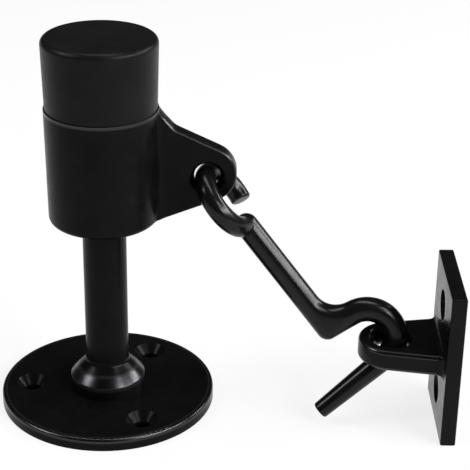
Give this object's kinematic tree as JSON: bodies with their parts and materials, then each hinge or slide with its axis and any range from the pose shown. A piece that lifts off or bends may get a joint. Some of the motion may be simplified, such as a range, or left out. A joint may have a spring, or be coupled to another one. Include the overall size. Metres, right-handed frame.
{
  "type": "wall door stop with hook",
  "caption": "Door stop with a rubber bumper on a flanged post, and a hook hung in its ear that drops into a keeper plate to hold the door open.",
  "frame": {"origin": "centre of the flange's mounting face", "axes": "+Z out along the post, +X from the post towards the ear, the hook and the keeper"},
  "size_m": [0.1339, 0.0634, 0.1131],
  "materials": {
    "black_metal": "satin black coat",
    "screw_steel": "plain steel",
    "bumper_rubber": "matt"
  },
  "bodies": {
    "stop": {"base_post": "black_metal", "bumper_cup": "black_metal", "cup_screw": "screw_steel", "rubber_bumper": "bumper_rubber"},
    "hook": {"hook": "black_metal"},
    "keeper": {"keeper": "black_metal"}
  },
  "joints": [
    {"name": "hook_swing", "type": "hinge", "parent": "stop", "child": "hook", "pos_m": [0.0297, 0, 0.0727], "axis": [0, -1, 0], "range_deg": [0, 110]},
    {"name": "keeper_swivel", "type": "hinge", "parent": "hook", "child": "keeper", "pos_m": [0.08369, -0.01039, 0.0238], "axis": [0, 0, 1], "range_deg": [-100, 100]}
  ]
}
